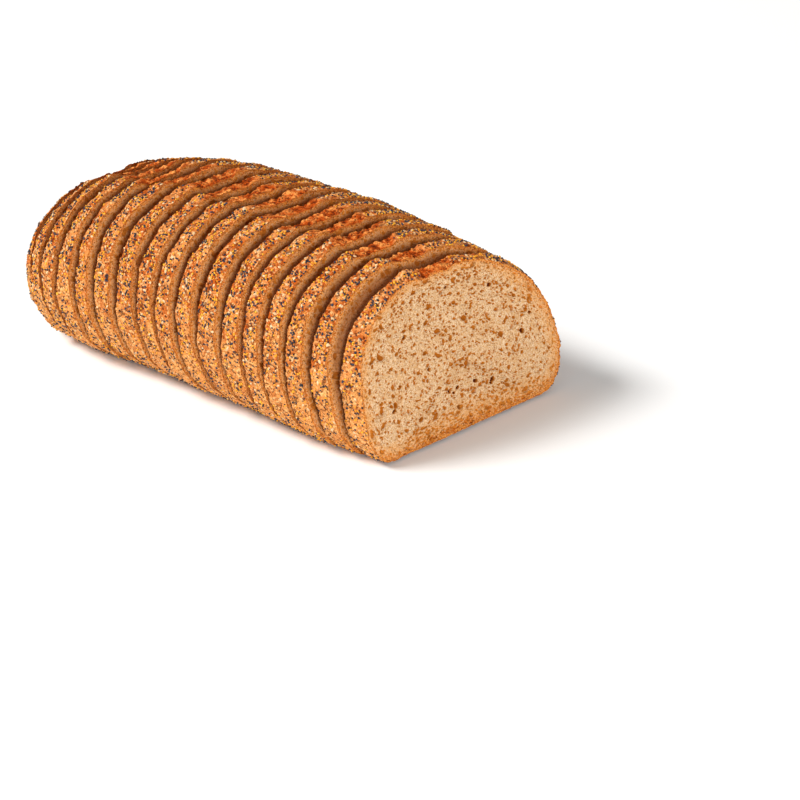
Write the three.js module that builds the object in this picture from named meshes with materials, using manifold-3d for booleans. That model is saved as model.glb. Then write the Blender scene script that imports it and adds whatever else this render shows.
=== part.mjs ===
// A whole wheat hearth loaf, cut across. Sixteen slices and the heel still stand together in the
// loaf's shape and lean back towards the heel. The front slice shows its cut face. Seeds lie on the
// crust, on both sides of the bare band where the loaf was scored and burst open in the oven.
// Millimetres, +Z up, +X along the loaf towards the cut face, origin under the middle of the loaf.

import * as THREE from "three";
import { mergeVertices } from "three/addons/utils/BufferGeometryUtils.js";
import Module from "manifold-3d";

// The section of the loaf at its front cut, seen from the front: a flat base and a squarish dome
const HALF_WIDTH = 71;
const HEIGHT = 96;
const WIDEST_AT = 26; // above the base
const DOME_POWER = { left: 2.45, right: 2.2 }; // 2 is an ellipse, more is squarer
const LEFT_CORNER = { reach: 12, rise: 19, power: 1.5 };
const RIGHT_CORNER = { reach: 23, rise: 26, power: 2.5 };
const LOPSIDED = 7.5; // the crown lies this far left of the middle

// The loaf swells from the front cut to its middle, and draws in again towards the heel
const MIDDLE_AT = 112; // behind the front cut
const SWELL = 1.13; // the middle against the front cut
const FRONT_SPAN = 165; // from the middle to where the loaf would come to nothing
const BACK_SPAN_WIDE = 255;
const BACK_SPAN_HIGH = 161;
const SWELL_POWER = 3;
const TUCK = 0.2; // behind the front cut the base draws in under the sides by up to this part
const TUCK_BELOW = 46;
const TUCK_EASE = 35; // distance behind the front cut over which it does

// The slices from the front to the heel, cut unevenly: thickness at the base, and how far each has
// slid to the right. They nearly touch at the base and open towards the crown, where they are thinner.
const THICKNESS = [14.6, 13.3, 13.5, 13.4, 13, 14.3, 15.7, 14.1, 12.7, 14.6, 15.8, 13.8, 11.4, 13.5, 11.8, 11];
const GAP = 0.5;
const SLID = [1.5, -1.1, -2.7, -2.5, -2, -1, -1, -1, -1.5, -0.5, 0, -0.5, -2, -3, -2, -0.5, 3];
const THIN = 0.3; // a slice is this part thinner at its crown than at its base
const FRONT_THIN = 0.15; // the front slice this part more
const THIN_POWER = 1.5;
const SKEW = 0.1; // sawn askew: a slice's sides run this far left for each millimetre back
const HEEL_THICKNESS = 26;
const HEEL_POWER = 2.4;
const HEEL_CAP = 0.96; // part of the heel's depth where its last flat facet lies
const TURN = 14.5; // degrees between a slice and a straight cut across the loaf
const LEAN = 8.5; // degrees that a slice leans back
const FRONT_LEAN = 4; // the front slice leans this much more
const FRONT_EASE = 3; // slices over which the front slice's differences die away
const SETTLED = 0.5; // part of a leaning slice's base that has sunk flat

// The crust's relief: the bare burst band along the crown, its raised left lip, and lumps
const BAND = { left: -24, right: 3, above: 60, rise: 12, edge: 5, depth: 1.8, crags: 1 };
const LIP = { left: -34, right: -22, edge: 7, height: 1.1 };
const LUMPS = 0.6;

// Seeds large enough to feel: half length, half width and half height
const SEED = { length: 1.4, width: 0.9, height: 0.6 };
const SEED_SUNK = 0.15;
const SEEDS_ON_A_SLICE = 13;
const SEEDS_ON_THE_HEEL = 20;
const SEED_MARGIN = 0.28; // part of the thickness kept bare at each cut
const LOWEST_SEED = 0.06; // part of the way along the crust's outline

// How finely the slices are faceted
const DOME_POINTS = 34;
const CORNER_POINTS = 5;
const BASE_POINTS = 5;
const SLICE_STEPS = 3;
const HEEL_STEPS = 7;

const FIRST_DRAW = 41;
const CRUST_COLOUR = 0xb5763c;
const FLOOR_BOX = 500;

const wasm = await Module();
wasm.setup();

// A seeded draw between 0 and 1.
function makeDraw(start) {
  const modulus = 4294967296;
  let state = start;
  return () => {
    state = (state * 1664525 + 1013904223) % modulus;
    return state / modulus;
  };
}

// One corner between the side and the base, from the side down: a quarter of a superellipse.
function corner({ reach, rise, power }) {
  const points = [];
  for (let i = 1; i <= CORNER_POINTS; i += 1) {
    const angle = (i / CORNER_POINTS) * (Math.PI / 2);
    const x = HALF_WIDTH - reach + reach * Math.max(Math.cos(angle), 0) ** (2 / power);
    const y = rise - rise * Math.sin(angle) ** (2 / power);
    points.push(new THREE.Vector2(x, y));
  }
  return points;
}

// The crust's outline, from the left end of the base over the dome to the right end.
function crustOutline() {
  const left = corner(LEFT_CORNER).map((point) => new THREE.Vector2(-point.x, point.y));
  const dome = [];
  for (let i = 0; i <= DOME_POINTS; i += 1) {
    const angle = Math.PI * (1 - i / DOME_POINTS);
    const across = Math.cos(angle);
    const power = across < 0 ? DOME_POWER.left : DOME_POWER.right;
    const x = HALF_WIDTH * Math.sign(across) * Math.abs(across) ** (2 / power);
    const up = Math.max(Math.sin(angle), 0) ** (2 / power);
    const slip = LOPSIDED * up ** 1.5;
    dome.push(new THREE.Vector2(x - slip, WIDEST_AT + (HEIGHT - WIDEST_AT) * up));
  }
  return [...left.reverse(), ...dome, ...corner(RIGHT_CORNER)];
}

const CRUST = crustOutline();

// The whole section: the crust's outline closed by the base, anticlockwise.
function sectionShape() {
  const first = CRUST[0];
  const last = CRUST[CRUST.length - 1];
  const base = [];
  for (let i = 1; i < BASE_POINTS; i += 1) {
    base.push(new THREE.Vector2().lerpVectors(last, first, i / BASE_POINTS));
  }
  return new THREE.Shape([...CRUST, ...base].reverse());
}

// The loaf's size at a distance behind the front cut, against its size at that cut.
function sizeAt(behind) {
  const away = Math.abs(behind - MIDDLE_AT);
  const swell = (span) => {
    const part = Math.min(away / span, 0.999);
    return SWELL * (1 - part ** SWELL_POWER) ** (1 / SWELL_POWER);
  };
  if (behind < MIDDLE_AT) {
    return { wide: swell(FRONT_SPAN), high: swell(FRONT_SPAN) };
  }
  return { wide: swell(BACK_SPAN_WIDE), high: swell(BACK_SPAN_HIGH) };
}

// A smooth step from 0 to 1 between two values.
function ease(value, from, to) {
  const part = THREE.MathUtils.clamp((value - from) / (to - from), 0, 1);
  return part * part * (3 - 2 * part);
}

// 1 between two values and 0 outside them, with soft edges.
function between(value, { left, right, edge }) {
  return ease(value, left, left + edge) * (1 - ease(value, right - edge, right));
}

// How far the crust stands out of the smooth dome, at a place on the section and along the loaf.
function relief(x, y, behind) {
  const low = Math.sin(0.09 * x + 0.05 * behind) * Math.sin(0.07 * y - 0.11 * behind);
  const fine = Math.sin(0.23 * x - 0.31 * behind + 0.17 * y);
  const wander = 3 * Math.sin(0.13 * behind) + 2 * Math.sin(0.37 * behind);
  const crag = BAND.crags * Math.sin(0.9 * x + 0.45 * behind) * Math.sin(0.63 * behind - 0.5 * x);
  const band = between(x - wander, BAND) * (crag - BAND.depth);
  const lip = between(x - wander, LIP) * LIP.height;
  const onTop = ease(y, BAND.above, BAND.above + BAND.rise);
  return LUMPS * (low + 0.5 * fine) + onTop * (band + lip);
}

// How much of its width the section keeps at a height, where its lower sides are tucked in.
function tuckAt(y, behind) {
  const low = Math.max(1 - y / TUCK_BELOW, 0);
  return 1 - TUCK * (1 - Math.exp(-behind / TUCK_EASE)) * low * low;
}

// A point of the section moved out by the relief and scaled to the loaf's size there.
function onCrust(x, y, behind, shrink) {
  const size = sizeAt(behind);
  const out = new THREE.Vector2(x / HALF_WIDTH, (y - WIDEST_AT) / (HEIGHT - WIDEST_AT)).normalize();
  const lift = y > 0.5 ? relief(x, y, behind) * Math.min(y / WIDEST_AT, 1) : 0;
  return new THREE.Vector2(
    (x + out.x * lift) * tuckAt(y, behind) * size.wide * shrink,
    (y + Math.max(out.y * lift, -y)) * size.high * shrink,
  );
}

// The heel rounds off towards its end: its section's size at a part of its depth.
function heelShrink(part) {
  return (1 - (part * HEEL_CAP) ** HEEL_POWER) ** (1 / HEEL_POWER);
}

// Everything that one slice needs: where it stands, how thick it is and how it leans.
function planSlices() {
  const count = THICKNESS.length + 1;
  const plans = [];
  let behind = 0;
  for (let i = 0; i < count; i += 1) {
    const heel = i === count - 1;
    const thickness = heel ? HEEL_THICKNESS : THICKNESS[i];
    const front = Math.exp(-i / FRONT_EASE);
    const lean = LEAN + FRONT_LEAN * front;
    const thin = heel ? 0 : THIN + FRONT_THIN * front;
    const along = Math.cos(THREE.MathUtils.degToRad(TURN)) * Math.cos(THREE.MathUtils.degToRad(lean));
    plans.push({ heel, thickness, thin, lean, behind, slid: SLID[i] });
    behind += (thickness + GAP) / along;
  }
  return plans;
}

// The slice's place: its front cut stands at its distance behind the front, slid along its own plane.
function placeOf({ thickness, lean, behind, slid }) {
  const upright = Math.PI / 2 - THREE.MathUtils.degToRad(lean);
  const across = Math.PI / 2 - THREE.MathUtils.degToRad(TURN);
  const lift = thickness * Math.sin(THREE.MathUtils.degToRad(lean)) * (1 - SETTLED);
  const turned = new THREE.Quaternion().setFromEuler(new THREE.Euler(upright, 0, across, "ZXY"));
  const foot = new THREE.Vector3(slid, 0, 0).applyQuaternion(turned);
  foot.add(new THREE.Vector3(-behind, 0, lift));
  return new THREE.Matrix4().compose(foot, turned, new THREE.Vector3(1, 1, 1));
}

// A place in a slice's own plane, front cut at z = 0: a point of the section, at a part of the depth.
function inSlice({ thickness, thin, behind }, x, y, part, shrink) {
  const depth = part * thickness * (1 - thin * (y / HEIGHT) ** THIN_POWER);
  const point = onCrust(x, y, behind + depth, shrink);
  return new THREE.Vector3(point.x - SKEW * depth, point.y, -depth);
}

// The bare slab of one slice, in its own plane.
function slabGeometry(plan) {
  const steps = plan.heel ? HEEL_STEPS : SLICE_STEPS;
  const slab = new THREE.ExtrudeGeometry(sectionShape(), { depth: 1, steps, bevelEnabled: false });
  const position = slab.getAttribute("position");
  for (let i = 0; i < position.count; i += 1) {
    const even = 1 - position.getZ(i);
    const part = plan.heel ? Math.sin((even * Math.PI) / 2) : even;
    const shrink = plan.heel ? heelShrink(part) : 1;
    const place = inSlice(plan, position.getX(i), position.getY(i), part, shrink);
    position.setXYZ(i, place.x, place.y, place.z);
  }
  return slab;
}

// A point on the crust, at a part of the way round the outline and a part of the depth.
function crustPoint(plan, around, part) {
  const at = THREE.MathUtils.clamp(around, 0, 0.999) * (CRUST.length - 1);
  const index = Math.floor(at);
  const flat = new THREE.Vector2().lerpVectors(CRUST[index], CRUST[index + 1], at - index);
  const shrink = plan.heel ? heelShrink(part) : 1;
  return { flat, place: inSlice(plan, flat.x, flat.y, part, shrink) };
}

function inBareBand({ x, y }) {
  return y > BAND.above && x > BAND.left - 3 && x < BAND.right + 3;
}

// One seed, a flattened lump lying on the crust and a little sunk into it.
function seedGeometry(plan, around, part, spin) {
  const step = 0.01;
  const here = crustPoint(plan, around, part).place;
  const along = crustPoint(plan, around + step, part).place.sub(here).normalize();
  const deeper = crustPoint(plan, around, part + step).place.sub(here).normalize();
  const out = new THREE.Vector3().crossVectors(deeper, along).normalize();
  const seed = new THREE.IcosahedronGeometry(1, 0);
  seed.scale(SEED.length, SEED.width, SEED.height);
  seed.rotateZ(spin);
  const side = new THREE.Vector3().crossVectors(out, along).normalize();
  seed.applyMatrix4(new THREE.Matrix4().makeBasis(along, side, out));
  here.addScaledVector(out, SEED.height * (0.5 - SEED_SUNK));
  return seed.translate(here.x, here.y, here.z);
}

// A closed geometry as a solid for joining and cutting.
function solidOf(geometry) {
  const bare = geometry.clone();
  bare.deleteAttribute("normal");
  bare.deleteAttribute("uv");
  const merged = mergeVertices(bare, 1e-4);
  return new wasm.Manifold(
    new wasm.Mesh({
      numProp: 3,
      vertProperties: merged.getAttribute("position").array,
      triVerts: new Uint32Array(merged.index.array),
    }),
  );
}

function geometryOf(solid) {
  const mesh = solid.getMesh();
  const geometry = new THREE.BufferGeometry();
  geometry.setAttribute("position", new THREE.BufferAttribute(mesh.vertProperties, 3));
  geometry.setIndex(new THREE.BufferAttribute(mesh.triVerts, 1));
  geometry.computeVertexNormals();
  return geometry;
}

// The slice with its seeds, cut off flat where it has settled on the surface under it.
function sliceGeometry(plan, place, draw) {
  let solid = solidOf(slabGeometry(plan));
  const wanted = plan.heel ? SEEDS_ON_THE_HEEL : SEEDS_ON_A_SLICE;
  for (let i = 0; i < wanted; i += 1) {
    const around = LOWEST_SEED + (1 - 2 * LOWEST_SEED) * ((i + draw()) / wanted);
    const part = SEED_MARGIN + (1 - 2 * SEED_MARGIN) * draw();
    const spin = Math.PI * draw();
    if (!inBareBand(crustPoint(plan, around, part).flat)) {
      solid = solid.add(solidOf(seedGeometry(plan, around, part, spin)));
    }
  }
  const floor = new THREE.BoxGeometry(FLOOR_BOX, FLOOR_BOX, FLOOR_BOX);
  floor.translate(-plan.behind, 0, -FLOOR_BOX / 2);
  floor.applyMatrix4(place.clone().invert());
  return geometryOf(solid.subtract(solidOf(floor)));
}

function buildLoaf() {
  const stack = new THREE.Group();
  const draw = makeDraw(FIRST_DRAW);
  planSlices().forEach((plan, index) => {
    const place = placeOf(plan);
    const crust = new THREE.MeshStandardMaterial({ color: CRUST_COLOUR, roughness: 0.85, metalness: 0 });
    const slice = new THREE.Mesh(sliceGeometry(plan, place, draw), crust);
    slice.name = plan.heel ? "heel" : `slice_${String(index + 1).padStart(2, "0")}`;
    place.decompose(slice.position, slice.quaternion, slice.scale);
    stack.add(slice);
  });
  const box = new THREE.Box3().setFromObject(stack, true);
  const middle = box.getCenter(new THREE.Vector3());
  stack.position.set(-middle.x, -middle.y, -box.min.z);
  const loaf = new THREE.Group();
  loaf.name = "hearth_loaf";
  loaf.add(stack);
  return loaf;
}

export default buildLoaf();
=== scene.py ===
"""A whole wheat hearth loaf, sliced and still standing together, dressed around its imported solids.

The scene is in metres, +Z up, with +X along the loaf towards its open cut face. The bread's own
sizes are in millimetres, as in the solids. A slice is shaped in its own plane first, with x across
the loaf, y up and z out of its front cut, and then it is put in its place.
"""

import math

import bmesh
import bpy
import numpy as np
from mathutils import Matrix, Vector


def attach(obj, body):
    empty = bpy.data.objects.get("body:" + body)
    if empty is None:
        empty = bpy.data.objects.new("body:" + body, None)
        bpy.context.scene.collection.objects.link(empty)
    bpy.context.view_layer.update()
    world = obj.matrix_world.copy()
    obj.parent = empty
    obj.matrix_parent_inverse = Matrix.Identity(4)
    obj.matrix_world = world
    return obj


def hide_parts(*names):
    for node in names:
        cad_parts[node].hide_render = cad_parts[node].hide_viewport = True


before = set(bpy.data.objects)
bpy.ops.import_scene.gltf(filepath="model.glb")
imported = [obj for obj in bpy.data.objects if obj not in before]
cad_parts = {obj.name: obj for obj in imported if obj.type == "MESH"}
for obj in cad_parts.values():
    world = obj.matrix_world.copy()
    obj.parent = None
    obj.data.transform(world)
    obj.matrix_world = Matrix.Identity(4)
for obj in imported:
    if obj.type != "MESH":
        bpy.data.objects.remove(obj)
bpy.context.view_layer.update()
MM = 0.001


# Studio. A plain pale floor, a large soft light high up behind the heel on the left, which leaves
# the saw cuts in shade, and a low one in front of the cut face, which reaches only their edges.

FLOOR_SIZE = 8
FLOOR_COLOUR = "#f8f7f5"
AIR_COLOUR = "#ffffff"
AIR_STRENGTH = 0.31
LIGHTS = {
    "window": {"place": (-2.4, -1.8, 3.1), "size": 1.4, "watts": 212},
    "fill": {"place": (3.2, -1.6, 1.1), "size": 1.6, "watts": 80},
}
LOOKED_AT = Vector((0.0791, 0.0015, 0))
CAMERA_AWAY = 1.408
CAMERA_AZIMUTH = math.radians(35.7)
CAMERA_ELEVATION = math.radians(31.63)
LENS = 112.14


def colour(code):
    """The linear colour of an sRGB hex value."""
    parts = [int(code[i : i + 2], 16) / 255 for i in (1, 3, 5)]
    linear = [part / 12.92 if part <= 0.04045 else ((part + 0.055) / 1.055) ** 2.4 for part in parts]
    return (*linear, 1.0)


def add_node(tree, kind, inputs, **settings):
    """Adds a node. An input given as a socket is linked, and any other value is set on it."""
    node = tree.nodes.new(kind)
    for name, value in settings.items():
        setattr(node, name, value)
    for key, value in inputs.items():
        if isinstance(value, bpy.types.NodeSocket):
            tree.links.new(value, node.inputs[key])
        else:
            node.inputs[key].default_value = value
    return node


def new_material(name):
    """A material whose tree has nothing in it yet."""
    material = bpy.data.materials.new(name)
    material.use_nodes = True
    material.node_tree.nodes.clear()
    return material


def aim(thing, place, target):
    """Puts a light or the camera at a place and turns it to a target."""
    thing.location = place
    thing.rotation_euler = (Vector(target) - Vector(place)).to_track_quat("-Z", "Y").to_euler()
    bpy.context.scene.collection.objects.link(thing)


# A matte painted table: even, with hardly any sheen
painted = new_material("pale matte paint")
paint = add_node(
    painted.node_tree, "ShaderNodeBsdfPrincipled", {"Base Color": colour(FLOOR_COLOUR), "Roughness": 0.9}
)
add_node(painted.node_tree, "ShaderNodeOutputMaterial", {"Surface": paint.outputs[0]})

bpy.ops.object.select_all(action="DESELECT")
bpy.ops.mesh.primitive_plane_add(size=FLOOR_SIZE)
floor = bpy.context.object
floor.name = "floor"
floor.data.materials.append(painted)

world = bpy.data.worlds.new("studio air")
bpy.context.scene.world = world
world.use_nodes = True
world.node_tree.nodes.clear()
air = add_node(
    world.node_tree, "ShaderNodeBackground", {"Color": colour(AIR_COLOUR), "Strength": AIR_STRENGTH}
)
add_node(world.node_tree, "ShaderNodeOutputWorld", {"Surface": air.outputs[0]})

for name, light in LIGHTS.items():
    lamp = bpy.data.lights.new(name, "AREA")
    lamp.size = light["size"]
    lamp.energy = light["watts"]
    aim(bpy.data.objects.new(name, lamp), light["place"], (0, 0, 0.05))

bpy.context.scene.view_settings.view_transform = "Standard"

camera = bpy.data.objects.new("camera", bpy.data.cameras.new("camera"))
camera.data.lens = LENS
camera.data.sensor_width = 36
camera.data.clip_end = 50
sight = Vector((math.sin(CAMERA_AZIMUTH), -math.cos(CAMERA_AZIMUTH), math.tan(CAMERA_ELEVATION)))
aim(camera, LOOKED_AT + sight.normalized() * CAMERA_AWAY, LOOKED_AT)
bpy.context.scene.camera = camera


# The baked loaf that the slices were sawn from: a flat base and a squarish dome, swollen in the
# middle of its length, with a lengthwise scored band on the crown that burst open in the oven.

HALF_WIDTH = 71
HEIGHT = 96
WIDEST_AT = 26  # above the base
DOME_POWER = {"left": 2.45, "right": 2.2}  # 2 is an ellipse, more is squarer
LEFT_CORNER = {"reach": 12, "rise": 19, "power": 1.5}
RIGHT_CORNER = {"reach": 23, "rise": 26, "power": 2.5}
LOPSIDED = 7.5  # the crown lies this far left of the middle
LOPSIDED_POWER = 1.5
HEART = np.array([-3, 44])  # the middle of the section, which the crumb's rings close in on
MIDDLE_AT = 112  # behind the front cut
SWELL = 1.13  # the middle of the loaf against the front cut
FRONT_SPAN = 165
BACK_SPAN_WIDE = 255
BACK_SPAN_HIGH = 161
SWELL_POWER = 3
SPAN_END = 0.999  # part of a span, short of where the loaf would come to a point
TUCK = 0.2  # behind the front cut the base draws in under the sides by up to this part
TUCK_BELOW = 46
TUCK_EASE = 35  # distance behind the front cut over which it does
BAND = {"left": -24, "right": 3, "edge": 5}
BAND_WANDER = ((3, 0.13), (2, 0.37))  # mm to each side, and radians for each mm along the loaf
BAND_ABOVE = 60
BAND_RISE = 12
BAND_DEPTH = 1.8
BAND_CRAGS = 0.3  # low waves in it, under the torn crags that are pushed out of the slices
TORN_WIDER = 5  # its torn look and bareness reach this far past each edge
TORN_WIDENS = (15, 60)  # distances behind the front cut over which they come to do so
TORN_TAPER = 24  # they draw in by up to this much where the heel rounds off
TORN_NARROWS = (0.6, 1)  # between these sizes of the heel, against the whole section
LIP = {"left": -34, "right": -22, "edge": 7}
LIP_HEIGHT = 1.1
LUMPS = 0.6
BASE_TOP = 0.5  # height up to which the crust is the flat base, without relief


def corner(count, reach, rise, power):
    """The corner between the right side and the base, from the side down."""
    angle = np.linspace(0, math.pi / 2, count + 1)[1:]
    x = HALF_WIDTH - reach + reach * np.cos(angle).clip(0) ** (2 / power)
    y = rise - rise * np.sin(angle) ** (2 / power)
    return np.column_stack([x, y])


def crust_outline(dome_points, corner_points):
    """The crust's outline, from the left end of the base over the dome to the right end."""
    left = corner(corner_points, **LEFT_CORNER)[::-1] * (-1, 1)
    angle = np.linspace(math.pi, 0, dome_points + 1)
    across = np.cos(angle)
    power = np.where(across < 0, DOME_POWER["left"], DOME_POWER["right"])
    up = np.sin(angle).clip(0) ** (2 / power)
    x = HALF_WIDTH * np.sign(across) * np.abs(across) ** (2 / power) - LOPSIDED * up**LOPSIDED_POWER
    dome = np.column_stack([x, WIDEST_AT + (HEIGHT - WIDEST_AT) * up])
    return np.vstack([left, dome, corner(corner_points, **RIGHT_CORNER)])


def ease(value, start, end):
    """A smooth step from 0 to 1 between two values."""
    part = np.clip((value - start) / (end - start), 0, 1)
    return part * part * (3 - 2 * part)


def between(value, left, right, edge):
    """1 between two values and 0 outside them, with soft edges."""
    return ease(value, left, left + edge) * (1 - ease(value, right - edge, right))


def size_at(behind):
    """The loaf's width and height at a distance behind the front cut, against those at the cut."""

    def swell(span):
        part = np.minimum(np.abs(behind - MIDDLE_AT) / span, SPAN_END)
        return SWELL * (1 - part**SWELL_POWER) ** (1 / SWELL_POWER)

    front = behind < MIDDLE_AT
    wide = np.where(front, swell(FRONT_SPAN), swell(BACK_SPAN_WIDE))
    high = np.where(front, swell(FRONT_SPAN), swell(BACK_SPAN_HIGH))
    return wide, high


def band_at(x, y, behind, wider=0):
    """How fully a place on the crust lies in the burst band, and on the lip at its left."""
    wander = sum(far * np.sin(rate * behind) for far, rate in BAND_WANDER)
    on_top = ease(y, BAND_ABOVE, BAND_ABOVE + BAND_RISE)
    band = between(x - wander, BAND["left"] - wider, BAND["right"] + wider, BAND["edge"])
    return band * on_top, between(x - wander, **LIP) * on_top


def relief(x, y, behind):
    """How far the crust stands out of the smooth dome, in waves of so many radians a millimetre."""
    low = np.sin(0.09 * x + 0.05 * behind) * np.sin(0.07 * y - 0.11 * behind)
    fine = np.sin(0.23 * x - 0.31 * behind + 0.17 * y)
    crag = BAND_CRAGS * np.sin(0.9 * x + 0.45 * behind) * np.sin(0.63 * behind - 0.5 * x)
    band, lip = band_at(x, y, behind)
    return LUMPS * (low + 0.5 * fine) + band * (crag - BAND_DEPTH) + lip * LIP_HEIGHT


def tuck_at(y, behind):
    """How much of its width the section keeps at a height, where its lower sides are tucked in."""
    low = np.maximum(1 - y / TUCK_BELOW, 0)
    return 1 - TUCK * (1 - np.exp(-behind / TUCK_EASE)) * low * low


def in_loaf(crust, inside, behind, shrink, near):
    """Places in the section, moved with the relief of the crust that they are near."""
    x, y = crust
    wide, high = size_at(behind)
    out = np.array([x / HALF_WIDTH, (y - WIDEST_AT) / (HEIGHT - WIDEST_AT)])
    out /= np.hypot(*out)
    lift = np.where(y > BASE_TOP, relief(x, y, behind) * np.minimum(y / WIDEST_AT, 1), 0) * near
    across = (inside[0] + out[0] * lift) * tuck_at(inside[1], behind) * wide * shrink
    return across, (inside[1] + np.maximum(out[1] * lift, -inside[1])) * high * shrink


# Baked crust. Flour, bran and sugars browned dry and hard, matte with a faint sheen: tan low on
# the sides, redder towards the crown, rusty in the burst band and dark brown on the base. The
# grain is the size of coarse flour and bran, 0.7 to 1.5 mm. Its hollows get painted shade, and the
# crags that stand out in the band a painted highlight over their paler torn crust.

CRUST_TAN = "#f1a158"
CRUST_PALE = "#ffca88"
CRUST_BROWN = "#c05a18"
CRUST_RUST = "#bd4c08"
# paler torn crust and a painted highlight, on the band's raised crags
CRUST_TORN_AND_HIGHLIGHT = "#ffa352"
CRUST_DARK = "#471604"
BASE_BROWN = "#8a4818"
GRAIN_WAVES = 0.9  # a millimetre, as all the materials' scales are
CRUST_PATCHES = 0.13
BRAN_FLECKS = 0.85
CRUST_ROUGHNESS = 0.75
CRUST_SHEEN = 0.08
CRUST_BUMP = {"Strength": 0.9, "Distance": 0.7 * MM}


def scaled_to_mm(tree):
    """Object coordinates with one unit to a millimetre."""
    place = add_node(tree, "ShaderNodeTexCoord", {})
    scaled = add_node(
        tree, "ShaderNodeVectorMath", {0: place.outputs["Object"], "Scale": 1 / MM}, operation="SCALE"
    )
    return scaled.outputs[0]


def lay_coats(tree, tone, coats):
    """Lays coats of colour over a tone. Each lies by a measure: where it starts and where it is at
    its full, and how thickly it lies at those two."""
    for measure, (starts, full), (thin, thick), coat in coats:
        limits = {"From Min": starts, "From Max": full, "To Min": thin, "To Max": thick}
        cover = add_node(
            tree, "ShaderNodeMapRange", {"Value": measure} | limits, interpolation_type="SMOOTHSTEP"
        )
        coated = add_node(
            tree, "ShaderNodeMix", {0: cover.outputs[0], 6: tone, 7: coat}, data_type="RGBA"
        )
        tone = coated.outputs[2]
    return tone


def crust_material():
    """The crust's look, from how high a place lies, how torn it is and how far it stands out, which sets
    its painted shade and highlight.
    """
    crust = new_material("baked crust")
    tree = crust.node_tree
    spot = scaled_to_mm(tree)
    band = add_node(tree, "ShaderNodeAttribute", {}, attribute_name="band").outputs["Fac"]
    height = add_node(tree, "ShaderNodeAttribute", {}, attribute_name="height").outputs["Fac"]
    proud = add_node(tree, "ShaderNodeAttribute", {}, attribute_name="proud").outputs["Fac"]
    grain = add_node(tree, "ShaderNodeTexNoise", {"Vector": spot, "Scale": GRAIN_WAVES, "Detail": 3})
    patch = add_node(tree, "ShaderNodeTexNoise", {"Vector": spot, "Scale": CRUST_PATCHES, "Detail": 2})
    bran = add_node(tree, "ShaderNodeTexVoronoi", {"Vector": spot, "Scale": BRAN_FLECKS})
    fleck = add_node(tree, "ShaderNodeSeparateColor", {0: bran.outputs["Color"]})

    # It browns with height, and unevenly
    higher = add_node(
        tree,
        "ShaderNodeMapRange",
        {"Value": height, "From Min": 8, "From Max": 85, "To Min": 0, "To Max": 0.75},
        interpolation_type="SMOOTHSTEP",
    )
    patchy = add_node(
        tree,
        "ShaderNodeMapRange",
        {"Value": patch.outputs[0], "From Min": 0.35, "From Max": 0.65, "To Min": -0.4, "To Max": 0.35},
        interpolation_type="SMOOTHSTEP",
    )
    browned = add_node(
        tree,
        "ShaderNodeMath",
        {0: higher.outputs[0], 1: patchy.outputs[0]},
        operation="ADD",
        use_clamp=True,
    )
    baked = add_node(
        tree,
        "ShaderNodeMix",
        {0: browned.outputs[0], 6: colour(CRUST_TAN), 7: colour(CRUST_BROWN)},
        data_type="RGBA",
    )
    whole = [
        (height, (2.5, 0.5), (0, 1), colour(BASE_BROWN)),
        (fleck.outputs[0], (0.62, 0.9), (0, 0.6), colour(CRUST_PALE)),
    ]
    # In the band the crust is paler where torn, with a painted highlight where it stands out
    torn = lay_coats(tree, colour(CRUST_RUST), [(proud, (-0.4, 0.7), (0, 1), colour(CRUST_TORN_AND_HIGHLIGHT))])
    burst = add_node(
        tree,
        "ShaderNodeMix",
        {0: band, 6: lay_coats(tree, baked.outputs[2], whole), 7: torn},
        data_type="RGBA",
    )
    # Bran flecks and grain darken it, and the hollows of its relief get painted shade
    dark = [
        (fleck.outputs[1], (0.68, 0.9), (0, 0.7), colour(CRUST_DARK)),
        (grain.outputs[0], (0.44, 0.33), (0, 0.75), colour(CRUST_DARK)),
        (proud, (-0.2, -1), (0, 0.9), colour(CRUST_DARK)),
    ]
    tone = lay_coats(tree, burst.outputs[2], dark)

    rough = add_node(
        tree, "ShaderNodeMath", {0: grain.outputs[0], 1: bran.outputs[0]}, operation="SUBTRACT"
    )
    bump = add_node(tree, "ShaderNodeBump", {"Height": rough.outputs[0]} | CRUST_BUMP)
    finish = {"Roughness": CRUST_ROUGHNESS, "Specular IOR Level": CRUST_SHEEN}
    shader = add_node(
        tree, "ShaderNodeBsdfPrincipled", {"Base Color": tone, "Normal": bump.outputs[0]} | finish
    )
    add_node(tree, "ShaderNodeOutputMaterial", {"Surface": shader.outputs[0]})
    return crust


# Whole wheat crumb. Soft, dull and open: beige walls round small pores whose hollows are painted
# golden brown as shade, darker in the few deep ones, with a browned skin 1.5 mm thick under the crust
# and up to 5 mm over the base. Deeper into the cuts between the slices it has painted shade, browner
# all over, and there its skin is drawn thicker, partly as painted shade.

CRUMB_LIGHT = "#e8c8a2"
CRUMB_BEIGE = "#d29c62"
# Painted shade in the pores: golden in most, dark brown in the deep ones and in the skin
PAINTED_PORE_GOLD = "#b86a1c"
PAINTED_PORE_DEEP = "#541c04"
SKIN_BROWN = "#ba5c10"
SKIN_PALE = "#e8963c"
# painted shade, browner deeper into the cuts between the slices
GAP_PAINTED_SHADE = "#8a440f"
MOTTLE_WAVES = 1.3
CRUMB_PATCHES = 0.12
# Small pores that are only painted: how fine they are, where they lie, and how strong their painted
# shade is
SMALL_PORES = 1.15
SMALL_PORE_LEVELS = {"From Min": 0.43, "From Max": 0.33}
SMALL_PORE_PAINTED_SHADE = 0.6
CRUMB_ROUGHNESS = 0.92
CRUMB_SHEEN = 0.1
CRUMB_BUMP = {"Strength": 0.8, "Distance": 0.5 * MM}


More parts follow.
